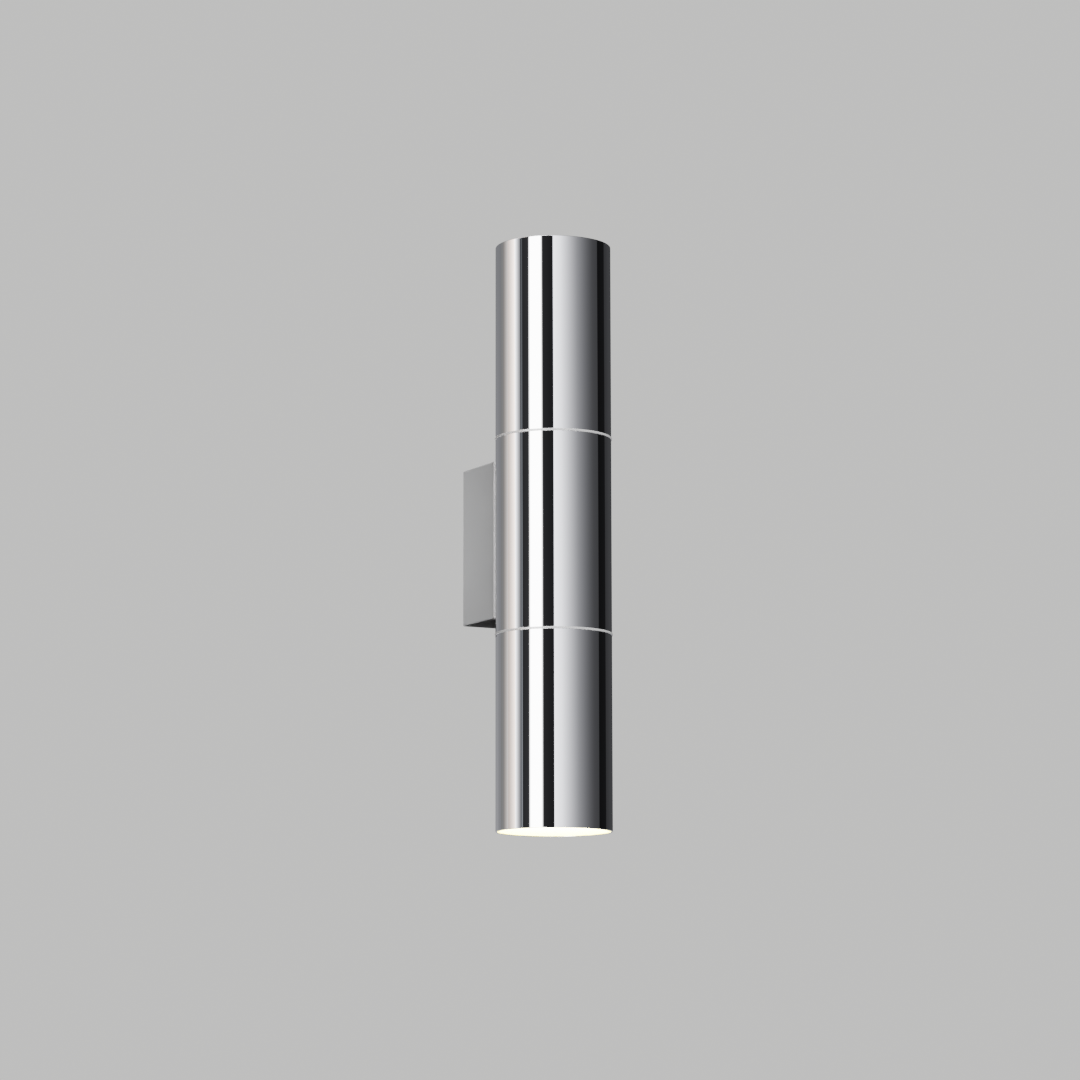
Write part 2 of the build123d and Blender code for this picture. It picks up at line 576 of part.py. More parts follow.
def lampholder_body():
    """Ceramic top of the lampholder, with two keyhole slots over the pin-head pockets."""
    body = extrude(Pos(0, 0, HOLDER_BASE) * holder_outline(), HOLDER_HEIGHT - HOLDER_BASE)
    top_edges = body.faces().sort_by(Axis.Z)[-1].edges()
    body = fillet(top_edges, HOLDER_EDGE_RADIUS)
    above = 2 * HOLDER_HEIGHT
    body -= pin_path(PIN_NECK_RADIUS + NECK_GAP, 0, above)
    body -= pin_path(PIN_HEAD_RADIUS + HEAD_GAP, 0, HOLDER_HEIGHT - HOLDER_TOP_WALL)
    for turn in (0, 180):
        entry = upright(PIN_HEAD_RADIUS + HEAD_GAP, 0, above)
        body -= Rot(0, 0, LOCK_ANGLE_DEG + turn) * Pos(PIN_SPACING / 2, 0, 0) * entry
    for place in holder_screw_places():
        body -= place * upright(M3[0] + SCREW_CLEARANCE, 0, above)
        body -= place * upright(M3[1] + SCREW_CLEARANCE, HOLDER_HEIGHT - HOLDER_SCREW_HEAD_DEPTH, above)
    return body


def lampholder_base():
    """Ceramic foot of the lampholder, which carries the contacts."""
    base = extrude(holder_outline(), HOLDER_BASE)
    for place in holder_screw_places():
        base -= place * upright(M3[0] + SCREW_CLEARANCE, -HOLDER_BASE, 2 * HOLDER_BASE)
    for x in (-PIN_SPACING / 2, PIN_SPACING / 2):
        base -= Pos(x, 0, 0) * upright(LEAD_RADIUS + SLIDE_FIT, -HOLDER_BASE, 2 * HOLDER_BASE)
    return base


def lampholder_contacts():
    """Two spring-brass contact discs with tails, under the locked pins."""
    contact = upright(CONTACT_RADIUS, HOLDER_BASE, HOLDER_BASE + CONTACT_THICKNESS)
    contact += upright(CONTACT_TAIL_RADIUS, HOLDER_BASE - CONTACT_TAIL_LENGTH, HOLDER_BASE)
    return group(Pos(x, 0, 0) * contact for x in (-PIN_SPACING / 2, PIN_SPACING / 2))


def lampholder_screws():
    """Two screws through the lampholder into the coupler's web."""
    seat = HOLDER_HEIGHT - HOLDER_SCREW_HEAD_DEPTH
    length = seat + COUPLER_WEB + HOLDER_SCREW_STICKOUT
    return group(place * Pos(0, 0, seat) * screw(M3, length) for place in holder_screw_places())


# ---------------------------------------------------------------- lamp, foot of the cap at Z = 0
def lamp_cup():
    """Cup of the lamp, open in front for the lens and behind for the cap."""
    shoulder = (LAMP_RADIUS, LAMP_SHOULDER)
    neck = (LAMP_NECK_RADIUS, LAMP_CAP_HEIGHT)
    waist = ((LAMP_RADIUS + LAMP_NECK_RADIUS) / 2 + LAMP_SHELL,
             (LAMP_SHOULDER + LAMP_CAP_HEIGHT) / 2 - LAMP_SHELL)
    inner_waist = (waist[0] - LAMP_SHELL, waist[1] + LAMP_SHELL)
    outline = Line((LAMP_RADIUS, LAMP_LENGTH), shoulder)
    outline += ThreePointArc(shoulder, waist, neck)
    outline += Polyline(
        neck,
        (LAMP_CAP_TOP_RADIUS, LAMP_CAP_HEIGHT),
        (LAMP_CAP_TOP_RADIUS, LAMP_CAP_HEIGHT + LAMP_CAP_SPIGOT),
        inner_waist,
        (LED_BOARD_RADIUS - LAMP_SHELL, LED_BOARD_SEAT),
        (LED_BOARD_RADIUS, LED_BOARD_SEAT),
        (LENS_RADIUS - LAMP_SHELL, LENS_SEAT),
        (LENS_RADIUS, LENS_SEAT),
        (LENS_RADIUS, LAMP_LENGTH),
        (LAMP_RADIUS, LAMP_LENGTH),
    )
    return revolve(Plane.XZ * make_face(outline), Axis.Z)


def led_places():
    ring = [Rot(0, 0, 360 * index / LEDS_ON_CIRCLE) * Pos(LED_CIRCLE_RADIUS, 0, 0)
            for index in range(LEDS_ON_CIRCLE)]
    return [Pos(0, 0, 0)] + ring


def lamp_lens():
    """Clear front of the lamp, with a small collimator behind each light source."""
    lens = upright(LENS_RADIUS, LENS_SEAT, LENS_SEAT + LENS_THICKNESS)
    lens = fillet(lens.edges().sort_by(Axis.Z)[-1], LENS_EDGE_RADIUS)
    height = LENS_SEAT - LED_TOP - TRIM_GAP
    cone = Pos(0, 0, LENS_SEAT - height / 2) * Cone(LED_SIZE / 2, OPTIC_RADIUS, height)
    for place in led_places():
        lens += place * cone
    return lens


def lamp_led_board():
    """Round board that carries the light sources."""
    return upright(LED_BOARD_RADIUS, LED_BOARD_SEAT, LED_BOARD_SEAT + LED_BOARD_THICKNESS)


def lamp_leds():
    """Square light sources, one in the middle and the others in a circle."""
    chip = Pos(0, 0, LED_TOP - LED_THICKNESS / 2) * Box(LED_SIZE, LED_SIZE, LED_THICKNESS)
    return group(place * chip for place in led_places())


def lamp_driver():
    """Driver board on edge in the cup's neck, with its coil and capacitor."""
    middle = LAMP_CAP_HEIGHT + DRIVER_BOARD_HEIGHT / 2
    face = DRIVER_BOARD_THICKNESS / 2
    board = Pos(0, 0, middle) * Box(DRIVER_BOARD_WIDTH, DRIVER_BOARD_THICKNESS, DRIVER_BOARD_HEIGHT)
    coil = Box(DRIVER_COIL_SIZE, DRIVER_COIL_SIZE, DRIVER_COIL_SIZE)
    capacitor = Cylinder(DRIVER_CAPACITOR_RADIUS, DRIVER_CAPACITOR_LENGTH)
    board += Pos(0, face + DRIVER_COIL_SIZE / 2, middle) * coil
    return board + Pos(0, -DRIVER_CAPACITOR_RADIUS, middle) * capacitor


def lamp_cap():
    """White cap that closes the cup's neck and stands on the lampholder."""
    foot = LAMP_CAP_FOOT_RADIUS
    top = LAMP_CAP_HEIGHT
    spigot_top = top + LAMP_CAP_SPIGOT
    inner = LAMP_CAP_TOP_RADIUS - LAMP_SHELL
    outline = [(0, 0), (foot, 0), (foot, LAMP_CAP_FOOT_HEIGHT), (LAMP_NECK_RADIUS, top - LAMP_CAP_COLLAR),
               (LAMP_NECK_RADIUS, top), (LAMP_CAP_TOP_RADIUS, top), (LAMP_CAP_TOP_RADIUS, spigot_top),
               (inner, spigot_top), (inner, top), (0, top)]
    cap = turned(outline)
    for x in (-PIN_SPACING / 2, PIN_SPACING / 2):
        cap -= Pos(x, 0, 0) * upright(PIN_NECK_RADIUS, -PIN_EMBED, PIN_EMBED)
    return cap


def lamp_pins():
    """Two headed contact pins."""
    pin = upright(PIN_NECK_RADIUS, -PIN_NECK_LENGTH, PIN_EMBED)
    head = upright(PIN_HEAD_RADIUS, -PIN_LENGTH, -PIN_NECK_LENGTH)
    head = fillet(head.edges().sort_by(Axis.Z)[0], PIN_EDGE_RADIUS)
    return group(Pos(x, 0, 0) * (pin + head) for x in (-PIN_SPACING / 2, PIN_SPACING / 2))


# ---------------------------------------------------------------- glare rings in the mouths
def glare_ring_heights():
    """Foot and rim of a glare ring, above the coupler's web."""
    rim = TUBE_LENGTH / 2 - GLARE_RING_INSET - WEB_Z
    foot = LAMP_FACE_Z - GLARE_RING_OVERLAP - WEB_Z
    return foot, rim


def glare_ring():
    """White collar from the lamp's face out to the tube's rim, grooved outside for its seal."""
    foot, rim = glare_ring_heights()
    throat = LAMP_RADIUS + LAMP_GAP
    outer = TUBE_BORE - SLIDE_FIT
    face = LAMP_FACE_Z - WEB_Z
    mouth = outer - GLARE_RING_LIP
    collar = turned([(throat, foot), (outer, foot), (outer, rim), (mouth, rim), (throat, face)])
    return collar - seal_torus()


def seal_torus():
    foot = glare_ring_heights()[0]
    height = foot + 2 * SEAL_SECTION_RADIUS
    return Pos(0, 0, height) * Torus(TUBE_BORE - SEAL_SECTION_RADIUS, SEAL_SECTION_RADIUS)


# ---------------------------------------------------------------- every node
LAMP_PLACE = Pos(0, 0, LAMP_SEAT)

nodes = {
    "tube_middle": middle_section(),
    "coupler_screws": coupler_screws(),
    "tube_clamp_screws": tube_clamp_screws(),
    "tube_clamp_washers": tube_clamp_washers(),
    "lead_bush": lead_bush(),
    "wall_box_cover": wall_box_cover(),
    "wall_bracket": wall_bracket(),
    "cover_screws": cover_screws(),
    "cable_grommet": cable_grommet(),
    "terminal_housing": terminal_housing(),
    "terminal_tubes": terminal_tubes(),
    "terminal_screws": terminal_screws(),
    "terminal_fixing_screw": terminal_fixing_screw(),
    "earth_ring_tag": earth_ring_tag(),
    "earth_screw": earth_screw(),
    "earth_lead": earth_lead(),
}

# Tube pieces of the upper half, mirrored for the lower half
tube_pieces = {
    "tube": outer_section(),
    "joint_ring": joint_ring(),
    "coupler": coupler(),
}
for name, piece in tube_pieces.items():
    nodes[name + "_upper"] = piece
    nodes[name + "_lower"] = mirror(piece, about=Plane.XY)

# Lamp stack, turned end over end for the lower half so that it locks the same way round
stack_pieces = {
    "lampholder_body": lampholder_body(),
    "lampholder_base": lampholder_base(),
    "lampholder_contacts": lampholder_contacts(),
    "lampholder_screws": lampholder_screws(),
    "glare_ring": glare_ring(),
    "glare_ring_seal": seal_torus(),
    "lamp_cup": LAMP_PLACE * lamp_cup(),
    "lamp_lens": LAMP_PLACE * lamp_lens(),
    "lamp_led_board": LAMP_PLACE * lamp_led_board(),
    "lamp_leds": LAMP_PLACE * lamp_leds(),
    "lamp_driver": LAMP_PLACE * lamp_driver(),
    "lamp_cap": LAMP_PLACE * lamp_cap(),
    "lamp_pins": LAMP_PLACE * lamp_pins(),
}
for name, piece in stack_pieces.items():
    nodes[name + "_upper"] = UPPER_STACK * piece
    nodes[name + "_lower"] = LOWER_STACK * piece

for half, side in (("upper", 1), ("lower", -1)):
    for wire, pole_side in (("live", -1), ("neutral", 1)):
        nodes[f"lead_{wire}_{half}"] = lamp_lead(side, pole_side)

os.makedirs("parts", exist_ok=True)
for name, shape in nodes.items():
    export_step(shape, f"parts/{name}.step")
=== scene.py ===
import json
import math

import bpy
from mathutils import Matrix, Vector


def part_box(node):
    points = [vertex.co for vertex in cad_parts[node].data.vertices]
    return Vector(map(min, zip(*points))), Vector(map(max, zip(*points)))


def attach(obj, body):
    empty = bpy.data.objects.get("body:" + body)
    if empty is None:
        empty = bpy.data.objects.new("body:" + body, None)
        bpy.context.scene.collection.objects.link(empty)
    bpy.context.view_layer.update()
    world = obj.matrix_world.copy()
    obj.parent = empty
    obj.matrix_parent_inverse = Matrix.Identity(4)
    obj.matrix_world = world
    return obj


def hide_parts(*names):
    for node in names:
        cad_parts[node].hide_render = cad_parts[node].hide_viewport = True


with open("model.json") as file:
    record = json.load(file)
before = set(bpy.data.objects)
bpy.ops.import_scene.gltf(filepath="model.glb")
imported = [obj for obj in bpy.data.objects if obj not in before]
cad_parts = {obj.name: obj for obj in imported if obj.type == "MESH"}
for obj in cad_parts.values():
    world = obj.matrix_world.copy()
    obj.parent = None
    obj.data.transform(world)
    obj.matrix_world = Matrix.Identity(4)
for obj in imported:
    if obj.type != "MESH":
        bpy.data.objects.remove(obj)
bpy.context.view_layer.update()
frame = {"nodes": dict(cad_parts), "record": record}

# Tube wall light in a plain studio. Metres, in the frame of the part: the wall is the plane Y = 0,
# the light stands off it towards -Y, and +Z is up. The CAD nodes keep their shape and place. They get
# their finish here, and the front of each lamp is modelled in more detail.

# ---------------------------------------------------------------- sizes read from the frame
TUBE_LOW, TUBE_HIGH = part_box("tube_middle")
AXIS_Y = (TUBE_LOW.y + TUBE_HIGH.y) / 2
BOX_LOW, BOX_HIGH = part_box("wall_box_cover")
LENS_LOW, LENS_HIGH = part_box("lamp_lens_upper")
LENS_RADIUS = (LENS_HIGH.x - LENS_LOW.x) / 2
LED_LOW, LED_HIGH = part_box("lamp_leds_upper")
LED_SIZE = 0.003
LED_CIRCLE_RADIUS = (LED_HIGH.x - LED_LOW.x - LED_SIZE) / 2
LEDS_ON_CIRCLE = 6
GLARE_TOP_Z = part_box("glare_ring_upper")[1].z

# ---------------------------------------------------------------- front of a lamp
# A slab with ribs and a raised rim. A dome stands on it over each light source, and a cone behind it
# guides the light from there.
SLAB_THICKNESS = 0.0024
DOME_RADIUS = 0.0053
DOME_RISE = 0.0006
DOME_SINK = 0.0001
DOME_ROOT = 0.0006
DOME_RINGS = 36
DOME_SPOKES = 64
DOME_GROOVES = 5
GROOVE_DEPTH = 0.00009
RIB_RISE = 0.00022
RIB_PITCH = 0.0009
RIB_START = 0.0173
RIB_COUNT = 5
RIM_WIDTH = 0.0018
RIM_RISE = 0.0004
RIM_DROP = 0.0003
CONE_RADIUS = 0.0052
CONE_SPOKES = 32
SLAB_SPOKES = 128
SHARP_ANGLE_DEG = 35

# ---------------------------------------------------------------- glow of the lamps, and painted glow on the white collars round them
CORE_FLAT_RADIUS = 0.0008
CORE_GLOW = 26.0
LENS_GLOW = 0.7
LED_GLOW = (14.0, 18.0)
# The white collars get painted glow: emission standing in for the lamp's light falling on them, weaker and
# warmer at the rim than deep inside.
GLARE_RIM_DEPTH = 0.0004
GLARE_DEEP_DEPTH = 0.0060
GLARE_RIM_PAINTED_GLOW = 15.0
GLARE_DEEP_PAINTED_GLOW = 30.0

# ---------------------------------------------------------------- finishes
CLOUD_SHARE = 0.4
INSULATION_SHADE = 0.8
STRIPE_DIRECTION = (1.0, 0.8, 0.6)
STRIPE_EDGE = (0.50, 0.56)

# ---------------------------------------------------------------- studio
CAMERA_PLACE = (-0.9403, -1.8017, -0.3108)
CAMERA_BEARING_DEG = 28.12
CAMERA_TILT_DEG = 8.867
CAMERA_ROLL_DEG = -0.088
CAMERA_LENS = 129.56
CAMERA_REACH = 50
SENSOR_WIDTH = 36.0

FLOOR_Z = -1.5
FLOOR_RADIUS = 9.0
BACKDROP_COLOUR = (0.60, 0.60, 0.59)
BACKDROP_STRENGTH = 1.4

# Black flags: a disc below the whole light, and a small sheet close under the box.
FLAG_RADIUS = 1.0
FLAG_Z = -0.20
BOX_FLAG_DROP = 0.0025
BOX_FLAG_REACH = 0.02

# Square softboxes, each with its distance from the tube's axis, bearing, height, side and power.
SOFTBOXES = [
    ("front", 3.0, -8.0, 1.0, 1.6, 205.0),
    ("top", 0.6, 20.0, 2.2, 1.4, 25.0),
    ("back", 2.6, 165.0, 1.3, 1.4, 90.0),
]

# A weak light beside the box, for the light that a wall would throw back on its side.
WALL_GLOW_GAP = 0.042
WALL_GLOW_Y = 0.022
WALL_GLOW_WIDTH = 0.03
WALL_GLOW_HEIGHT = 0.08
WALL_GLOW_POWER = 0.020

WARM = (1.0, 0.92, 0.87)
WARM_CREST = (1.0, 0.82, 0.72)
PALE_BLUE = (0.93, 0.94, 1.0)
COOL = (0.93, 0.935, 1.0)
BLUE = (0.86, 0.91, 1.0)
NEUTRAL = (1.0, 1.0, 1.0)

# Upright cards all round the tube, for the chrome to mirror. A bearing is the angle about the tube's
# axis, 0 straight out from the wall and positive towards +X. Each card runs from the bearing of the one
# before to its own, with a brightness at either side. Above the middle height they lean to lower
# bearings, by so many degrees for each metre.
CARD_RADIUS = 2.6
CARD_STEP_DEG = 1.0
CARD_LEAN_DEG = 3.0
FIRST_BEARING = -211.0
CARDS = [
    ("grey_back", -170.0, 0.240, 0.228, COOL),
    ("grey_left", -157.0, 0.230, 0.215, COOL),
    ("grey_dip", -146.0, 0.210, 0.250, NEUTRAL),
    ("warm_rise", -130.0, 0.250, 1.25, WARM),
    ("warm_crest", -110.0, 1.25, 6.6, WARM_CREST),
    ("warm_fall", -96.6, 6.6, 0.30, PALE_BLUE),
    ("flag_gap", -94.9, 0.036, 0.036, COOL),
    ("slit", -91.8, 0.13, 0.13, BLUE),
    ("flag_left", -78.6, 0.032, 0.042, COOL),
    ("strip_edge_left", -76.4, 0.06, 2.0, NEUTRAL),
    ("strip_left", -74.2, 3.5, 14.0, NEUTRAL),
    ("white_strip", -52.8, 14.0, 14.0, NEUTRAL),
    ("strip_right", -50.6, 14.0, 3.5, NEUTRAL),
    ("strip_edge_right", -48.2, 2.4, 0.06, NEUTRAL),
    ("flag_middle", -28.6, 0.030, 0.018, COOL),
    ("fade_edge", -27.0, 0.03, 3.0, COOL),
    ("fade_bright", -13.0, 3.6, 2.5, COOL),
    ("fade_middle", 22.0, 2.5, 0.345, COOL),
    ("fade_dark", 58.0, 0.345, 0.078, COOL),
    ("fade_end", 71.5, 0.078, 0.060, COOL),
    ("flag_right", 95.0, 0.0095, 0.0125, COOL),
    ("dark_right", 113.0, 0.044, 0.060, COOL),
    ("dark_back", 149.0, 0.060, 0.074, COOL),
]

# Heights of the ring of cards, which closes in above the light and on the floor, so that the chrome
# has something to mirror from any side.
CARD_INNER_RADIUS = 0.10
CARD_ROOF_Z = 4.4
CARD_TOP_Z = 3.2
CARD_HIGH_Z = 0.75
CARD_MIDDLE_Z = 0.41
CARD_LOW_Z = 0.05
CARD_UNDER_TOP_Z = -0.15
CARD_UNDER_Z = -0.60
CARD_FOOT_Z = -0.80
CARD_FLOOR_GAP = 0.01
CARD_FLOOR_Z = FLOOR_Z + CARD_FLOOR_GAP

# Factors on a card's brightness at the low height, below the light and at the foot.
CARD_LIFTS = {
    "grey_back": (1.6, 2.5, 4.0),
    "grey_left": (1.25, 3.0, 4.0),
    "grey_dip": (1.0, 2.5, 3.0),
    "warm_crest": (0.66, 0.66, 0.8),
    "warm_fall": (0.8, 0.8, 0.8),
    "flag_gap": (2.2, 2.2, 2.2),
    "slit": (2.6, 2.6, 2.6),
    "flag_right": (1.0, 3.0, 4.0),
    "dark_right": (1.0, 5.0, 8.0),
    "dark_back": (1.0, 8.0, 12.0),
}


def place_camera():
    """Camera at the photograph's viewing angle. Untilted it would look straight down."""
    camera = bpy.data.objects.new("camera", bpy.data.cameras.new("camera"))
    bpy.context.scene.collection.objects.link(camera)
    turn = Matrix.Rotation(math.radians(-CAMERA_BEARING_DEG), 4, "Z")
    tilt = Matrix.Rotation(math.radians(90 + CAMERA_TILT_DEG), 4, "X")
    roll = Matrix.Rotation(math.radians(CAMERA_ROLL_DEG), 4, "Z")
    camera.matrix_world = Matrix.Translation(CAMERA_PLACE) @ turn @ tilt @ roll
    camera.data.sensor_width = SENSOR_WIDTH
    camera.data.lens = CAMERA_LENS
    camera.data.clip_end = CAMERA_REACH
    bpy.context.scene.camera = camera


def mesh_object(name, points, faces):
    """New object from points and faces, in the scene."""
    mesh = bpy.data.meshes.new(name)
    mesh.from_pydata(points, [], faces)
    mesh.update()
    piece = bpy.data.objects.new(name, mesh)
    bpy.context.scene.collection.objects.link(piece)
    return piece


def at_bearing(radius, bearing_deg, z):
    """Point at a bearing about the tube's axis."""
    bearing = math.radians(bearing_deg)
    return (radius * math.sin(bearing), AXIS_Y - radius * math.cos(bearing), z)


# ---------------------------------------------------------------- shader helpers
class Shader:
    """A principled material with short calls for the nodes that feed it. Keywords set plain values."""

    def __init__(self, name, **values):
        self.material = bpy.data.materials.new(name)
        self.material.use_nodes = True
        self.tree = self.material.node_tree
        self.surface = self.tree.nodes["Principled BSDF"]
        for socket, value in values.items():
            self.surface.inputs[socket.replace("_", " ")].default_value = value
        self.coordinates = self.node("ShaderNodeTexCoord")
        self.place = self.coordinates.outputs["Object"]

    def node(self, kind, **settings):
        node = self.tree.nodes.new(kind)
        for name, value in settings.items():
            setattr(node, name, value)
        return node

    def feed(self, socket, value):
        """Link an output, or set a plain value."""
        if isinstance(value, bpy.types.NodeSocket):
            self.tree.links.new(value, socket)
        else:
            socket.default_value = value

    def set(self, name, value):
        self.feed(self.surface.inputs[name], value)

    def calculate(self, operation, *values):
        node = self.node("ShaderNodeMath", operation=operation)
        for socket, value in zip(node.inputs, values):
            self.feed(socket, value)
        return node.outputs[0]

    def stretched(self, stretch):
        """Object coordinates, finer along the axes with a larger stretch."""
        node = self.node("ShaderNodeVectorMath", operation="MULTIPLY")
        self.feed(node.inputs[0], self.place)
        node.inputs[1].default_value = stretch
        return node.outputs[0]

    def noise(self, scale, detail=3.0, roughness=0.5, stretch=(1, 1, 1)):
        node = self.node("ShaderNodeTexNoise")
        self.feed(node.inputs["Vector"], self.stretched(stretch))
        node.inputs["Scale"].default_value = scale
        node.inputs["Detail"].default_value = detail
        node.inputs["Roughness"].default_value = roughness
        return node.outputs["Fac"]

    def height(self):
        """Height above or below the middle of the light."""
        node = self.node("ShaderNodeSeparateXYZ")
        self.feed(node.inputs[0], self.place)
        return self.calculate("ABSOLUTE", node.outputs["Z"])

    def spread(self, value, low, high, start=0.3, end=0.7):
        """Spread a value from start..end over low..high."""
        node = self.node("ShaderNodeMapRange")
        for name, number in (("From Min", start), ("From Max", end), ("To Min", low), ("To Max", high)):
            node.inputs[name].default_value = number
        self.feed(node.inputs["Value"], value)
        return node.outputs["Result"]

    def blend(self, factor, first, second):
        """Colour between two colours."""
        node = self.node("ShaderNodeMix", data_type="RGBA")
        self.feed(node.inputs["Factor"], factor)
        self.feed(node.inputs["A"], rgba(first) if isinstance(first, tuple) else first)
        self.feed(node.inputs["B"], rgba(second) if isinstance(second, tuple) else second)
        return node.outputs["Result"]

    def bump(self, height, depth, strength=1.0):
        node = self.node("ShaderNodeBump")
        node.inputs["Strength"].default_value = strength
        node.inputs["Distance"].default_value = depth
        self.feed(node.inputs["Height"], height)
        self.set("Normal", node.outputs["Normal"])


def rgba(colour):
    return (*colour, 1.0)


def finish_of(name, light, dark, roughness, cloud=60.0, grain=900.0, grain_depth=0.0,
              stretch=(1, 1, 1), **values):
    """Two close tones in soft clouds, with a fine grain in gloss and in height."""
    shader = Shader(name, **values)
    clouds = shader.noise(cloud, detail=4.0)
    fine = shader.noise(grain, detail=2.0, stretch=stretch)
    shader.set("Base Color", shader.blend(shader.spread(clouds, 0.0, 1.0), dark, light))
    grain_part = shader.calculate("MULTIPLY", fine, 1 - CLOUD_SHARE)
    mixed = shader.calculate("MULTIPLY_ADD", clouds, CLOUD_SHARE, grain_part)
    shader.set("Roughness", shader.spread(mixed, *roughness))
    if grain_depth:
        shader.bump(fine, grain_depth)
    return shader


# ---------------------------------------------------------------- materials, one for each slot
def chrome():
    """Mirror chrome with the faintest polishing lines round the tube."""
    return finish_of("chrome", (0.94, 0.94, 0.95), (0.925, 0.93, 0.94), (0.003, 0.009),
                     cloud=25.0, grain=1500.0, stretch=(0.15, 0.15, 1.0), Metallic=1.0)


def ring_white():
    """Satin pearl-white ring."""
    return finish_of("ring_white", (0.58, 0.58, 0.58), (0.55, 0.55, 0.55), (0.30, 0.40),
                     grain=2500.0, grain_depth=2e-6, Metallic=0.38)


def cast_metal():
    return finish_of("cast_metal", (0.72, 0.73, 0.74), (0.58, 0.59, 0.60), (0.30, 0.50),
                     grain=2000.0, grain_depth=8e-6, stretch=(0.2, 0.2, 1.0), Metallic=1.0)


def screw_steel():
    return finish_of("screw_steel", (0.72, 0.71, 0.69), (0.58, 0.57, 0.56), (0.20, 0.36),
                     cloud=300.0, grain=6000.0, grain_depth=3e-6, Metallic=1.0)


def plated_sheet():
    return finish_of("plated_sheet", (0.74, 0.75, 0.77), (0.60, 0.61, 0.63), (0.26, 0.44),
                     cloud=140.0, grain=3000.0, grain_depth=4e-6, stretch=(1, 1, 0.08), Metallic=0.75)


def black_rubber():
    return finish_of("black_rubber", (0.030, 0.030, 0.032), (0.018, 0.018, 0.020), (0.55, 0.75),
                     cloud=200.0, grain=4000.0, grain_depth=1e-5)


def box_paint():
    """Satin paint with a fine orange peel under a thin clear coat."""
    return finish_of("box_paint", (0.360, 0.364, 0.372), (0.342, 0.346, 0.354), (0.34, 0.44),
                     cloud=40.0, grain=1600.0, grain_depth=6e-6, Coat_Weight=0.8,
                     Coat_Roughness=0.10)


def terminal_nylon():
    return finish_of("terminal_nylon", (0.80, 0.79, 0.72), (0.72, 0.71, 0.64), (0.38, 0.52),
                     cloud=150.0, grain=3000.0, grain_depth=6e-6, Subsurface_Weight=0.2,
                     Subsurface_Scale=0.001)


def brass():
    return finish_of("brass", (0.83, 0.64, 0.31), (0.66, 0.48, 0.20), (0.22, 0.38),
                     cloud=250.0, grain=5000.0, grain_depth=3e-6, Metallic=1.0)


def tinned_brass():
    return finish_of("tinned_brass", (0.80, 0.79, 0.74), (0.68, 0.66, 0.58), (0.24, 0.40),
                     cloud=250.0, grain=5000.0, grain_depth=3e-6, Metallic=1.0)


def insulation(name, colour):
    dark = tuple(channel * INSULATION_SHADE for channel in colour)
    return finish_of(name, colour, dark, (0.36, 0.50), cloud=200.0, grain=4000.0, grain_depth=4e-6)


def live_insulation():
    return insulation("live_insulation", (0.20, 0.075, 0.030))


def neutral_insulation():
    return insulation("neutral_insulation", (0.030, 0.120, 0.42))


def earth_insulation():
    """Green sheath with a yellow stripe along either side."""
    green = (0.06, 0.30, 0.05)
    yellow = (0.80, 0.68, 0.06)
    shader = insulation("earth_insulation", green)
    sideways = shader.node("ShaderNodeVectorMath", operation="DOT_PRODUCT")
    shader.feed(sideways.inputs[0], shader.coordinates.outputs["Normal"])
    sideways.inputs[1].default_value = Vector(STRIPE_DIRECTION).normalized()
    either_side = shader.calculate("ABSOLUTE", sideways.outputs["Value"])
    stripe = shader.spread(either_side, 0.0, 1.0, *STRIPE_EDGE)
    shader.set("Base Color", shader.blend(stripe, green, yellow))
    return shader


def holder_ceramic():
    return finish_of("holder_ceramic", (0.82, 0.80, 0.74), (0.74, 0.72, 0.65), (0.55, 0.72),
                     cloud=120.0, grain=3500.0, grain_depth=1.2e-5)


def glare_white():
    """White collar with painted glow standing in for the lamp's light on it: white and stronger deep
    inside, warmer and weaker towards the rim.
    """
    shader = finish_of("glare_white", (0.90, 0.89, 0.86), (0.86, 0.85, 0.81), (0.34, 0.46),
                       grain=2500.0, grain_depth=3e-6)
    deep_z = GLARE_TOP_Z - GLARE_DEEP_DEPTH
    rim_z = GLARE_TOP_Z - GLARE_RIM_DEPTH
    depth = shader.spread(shader.height(), 1.0, 0.0, deep_z, rim_z)
    painted_glow_gain = GLARE_DEEP_PAINTED_GLOW - GLARE_RIM_PAINTED_GLOW
    # Painted glow: the emission's colour and strength stand in for the lamp's light on the collar.
    shader.set("Emission Color", shader.blend(depth, (1.0, 0.89, 0.07), (1.0, 0.95, 0.62)))
    shader.set("Emission Strength", shader.calculate("MULTIPLY_ADD", depth, painted_glow_gain, GLARE_RIM_PAINTED_GLOW))
    return shader


def lamp_white():
    return finish_of("lamp_white", (0.86, 0.86, 0.85), (0.80, 0.80, 0.79), (0.30, 0.44),
                     cloud=100.0, grain=3500.0, grain_depth=5e-6)


def board_white():
    return finish_of("board_white", (0.85, 0.85, 0.83), (0.78, 0.78, 0.76), (0.30, 0.42), cloud=200.0)


def board_green():
    return finish_of("board_green", (0.06, 0.24, 0.10), (0.03, 0.15, 0.06), (0.26, 0.40),
                     cloud=500.0, grain=3000.0, grain_depth=6e-6)


def led_centres():
    """Places of the light sources about the lamp's axis."""
    turns = [2 * math.pi * index / LEDS_ON_CIRCLE for index in range(LEDS_ON_CIRCLE)]
    ring = [(LED_CIRCLE_RADIUS * math.cos(turn), LED_CIRCLE_RADIUS * math.sin(turn)) for turn in turns]
    return [(0.0, 0.0)] + ring


